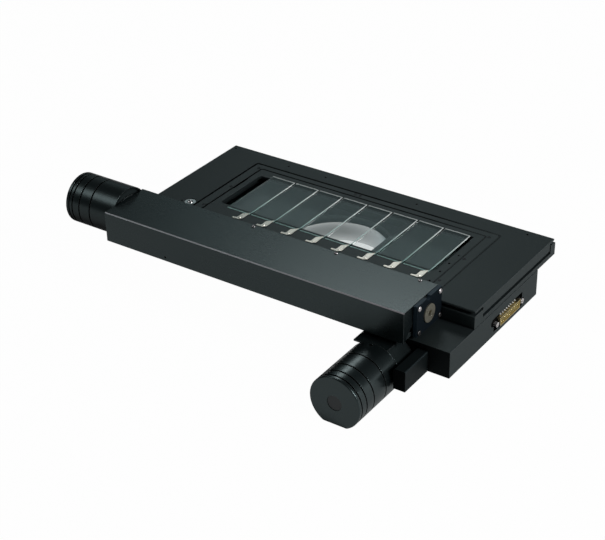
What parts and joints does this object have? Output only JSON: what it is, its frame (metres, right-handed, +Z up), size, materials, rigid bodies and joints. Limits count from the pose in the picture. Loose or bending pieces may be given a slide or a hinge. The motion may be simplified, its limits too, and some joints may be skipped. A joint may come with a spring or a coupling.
{
  "type": "motorized microscope stage",
  "caption": "Low black motorised XY stage: base with aperture, two crossed plates on roller ways, side drive bar, capped motors and a framed holder with glass slides.",
  "frame": {"origin": "optical axis on the underside of the base, the centre of the four base bolts", "axes": "+X along the long travel of the stage plate, to the right as seen from the drive bar; +Y to the back, along the short travel; +Z up along the light path"},
  "size_m": [0.4224, 0.2804, 0.0858],
  "materials": {
    "anodised_plate": "satin black anodised",
    "anodised_cover": "satin black anodised, turned on the motor covers",
    "rail_steel": "ground hardened steel",
    "screw_steel": "ground steel",
    "fastener_steel": "dark steel screw heads",
    "cage_brass": "rolled brass strip",
    "nut_bronze": "turned bronze",
    "motor_black": "black painted laminations",
    "badge_plastic": "bare dark disc",
    "connector_gold": "gold plated shell",
    "insert_plastic": "black moulded plastic",
    "cap_nickel": "nickel plated cap",
    "fitting_silver": "bright turned aluminium",
    "glass": "ground edge microscope glass",
    "clip_nickel": "nickel plated spring strip"
  },
  "bodies": {
    "base": {"base_plate": "anodised_plate", "y_fixed_rail_left": "rail_steel", "y_fixed_rail_right": "rail_steel", "y_bracket": "anodised_plate", "y_sheet_cover": "anodised_cover", "y_motor_flange": "anodised_plate", "y_motor": "motor_black", "y_motor_cover": "anodised_cover", "y_cover_badge": "badge_plastic", "y_bearings": "screw_steel", "connector_shell": "connector_gold", "connector_insert": "insert_plastic", "jack_screws": "fastener_steel"},
    "y_screw": {"y_leadscrew": "screw_steel", "y_coupling": "screw_steel"},
    "y_cage": {"y_cages": "cage_brass"},
    "y_carriage": {"carriage_plate": "anodised_plate", "y_moving_rail_left": "rail_steel", "y_moving_rail_right": "rail_steel", "y_nut": "nut_bronze", "x_fixed_rail_front": "rail_steel", "x_fixed_rail_back": "rail_steel", "x_drive_housing": "anodised_plate", "x_drive_cover": "anodised_cover", "x_drive_screws": "fastener_steel", "x_motor_flange": "anodised_plate", "x_motor": "motor_black", "x_motor_cover": "anodised_cover", "x_cover_badge": "badge_plastic", "x_end_plate": "anodised_plate", "x_bearing_cap": "cap_nickel", "x_bearings": "screw_steel"},
    "x_screw": {"x_leadscrew": "screw_steel", "x_coupling": "screw_steel"},
    "x_cage": {"x_cages": "cage_brass"},
    "x_stage": {"stage_plate": "anodised_plate", "x_moving_rail_front": "rail_steel", "x_moving_rail_back": "rail_steel", "x_nut": "nut_bronze", "x_nut_bracket": "anodised_plate", "insert_frame": "anodised_plate", "frame_screws": "fastener_steel", "round_fitting": "fitting_silver"},
    "holder": {"slide_holder": "anodised_plate", "slide_1": "glass", "slide_2": "glass", "slide_3": "glass", "slide_4": "glass", "slide_5": "glass", "slide_6": "glass", "slide_7": "glass", "slide_8": "glass"},
    "clip_1": {"clip_1": "clip_nickel"},
    "clip_2": {"clip_2": "clip_nickel"},
    "clip_3": {"clip_3": "clip_nickel"},
    "clip_4": {"clip_4": "clip_nickel"},
    "clip_5": {"clip_5": "clip_nickel"},
    "clip_6": {"clip_6": "clip_nickel"},
    "clip_7": {"clip_7": "clip_nickel"},
    "clip_8": {"clip_8": "clip_nickel"}
  },
  "joints": [
    {"name": "y_travel", "type": "slide", "parent": "base", "child": "y_carriage", "axis": [0, 1, 0], "range_m": [-0.0505, 0.0255]},
    {"name": "x_travel", "type": "slide", "parent": "y_carriage", "child": "x_stage", "axis": [1, 0, 0], "range_m": [-0.1145, 0.1145]},
    {"name": "y_cage_travel", "type": "slide", "parent": "base", "child": "y_cage", "axis": [0, 1, 0], "range_m": [-0.0253, 0.0128]},
    {"name": "x_cage_travel", "type": "slide", "parent": "y_carriage", "child": "x_cage", "axis": [1, 0, 0], "range_m": [-0.0573, 0.0573]},
    {"name": "y_screw_spin", "type": "hinge", "parent": "base", "child": "y_screw", "pos_m": [0.1226, 0, 0.0035], "axis": [0, 1, 0], "range_deg": [-2300, 4550]},
    {"name": "x_screw_spin", "type": "hinge", "parent": "y_carriage", "child": "x_screw", "pos_m": [0, -0.083, 0.0434], "axis": [1, 0, 0], "range_deg": [-10310, 10310]},
    {"name": "holder_lift", "type": "slide", "parent": "x_stage", "child": "holder", "axis": [0, 0, 1], "range_m": [0, 0.04]},
    {"name": "clip_1_turn", "type": "hinge", "parent": "holder", "child": "clip_1", "pos_m": [-0.085, -0.0361, 0.0441], "axis": [0, 0, 1], "range_deg": [-60, 0]},
    {"name": "clip_2_turn", "type": "hinge", "parent": "holder", "child": "clip_2", "pos_m": [-0.057, -0.0361, 0.0441], "axis": [0, 0, 1], "range_deg": [-60, 0]},
    {"name": "clip_3_turn", "type": "hinge", "parent": "holder", "child": "clip_3", "pos_m": [-0.029, -0.0361, 0.0441], "axis": [0, 0, 1], "range_deg": [-60, 0]},
    {"name": "clip_4_turn", "type": "hinge", "parent": "holder", "child": "clip_4", "pos_m": [-0.001, -0.0361, 0.0441], "axis": [0, 0, 1], "range_deg": [-60, 0]},
    {"name": "clip_5_turn", "type": "hinge", "parent": "holder", "child": "clip_5", "pos_m": [0.027, -0.0361, 0.0441], "axis": [0, 0, 1], "range_deg": [-60, 0]},
    {"name": "clip_6_turn", "type": "hinge", "parent": "holder", "child": "clip_6", "pos_m": [0.055, -0.0361, 0.0441], "axis": [0, 0, 1], "range_deg": [-60, 0]},
    {"name": "clip_7_turn", "type": "hinge", "parent": "holder", "child": "clip_7", "pos_m": [0.083, -0.0361, 0.0441], "axis": [0, 0, 1], "range_deg": [-60, 0]},
    {"name": "clip_8_turn", "type": "hinge", "parent": "holder", "child": "clip_8", "pos_m": [0.111, -0.0361, 0.0441], "axis": [0, 0, 1], "range_deg": [-60, 0]}
  ],
  "couplings": [
    {"joint": "y_cage_travel", "follows": "y_travel", "ratio": 0.5},
    {"joint": "x_cage_travel", "follows": "x_travel", "ratio": 0.5},
    {"joint": "y_screw_spin", "follows": "y_travel", "rad_per_m": -1570.8},
    {"joint": "x_screw_spin", "follows": "x_travel", "rad_per_m": -1570.8}
  ]
}
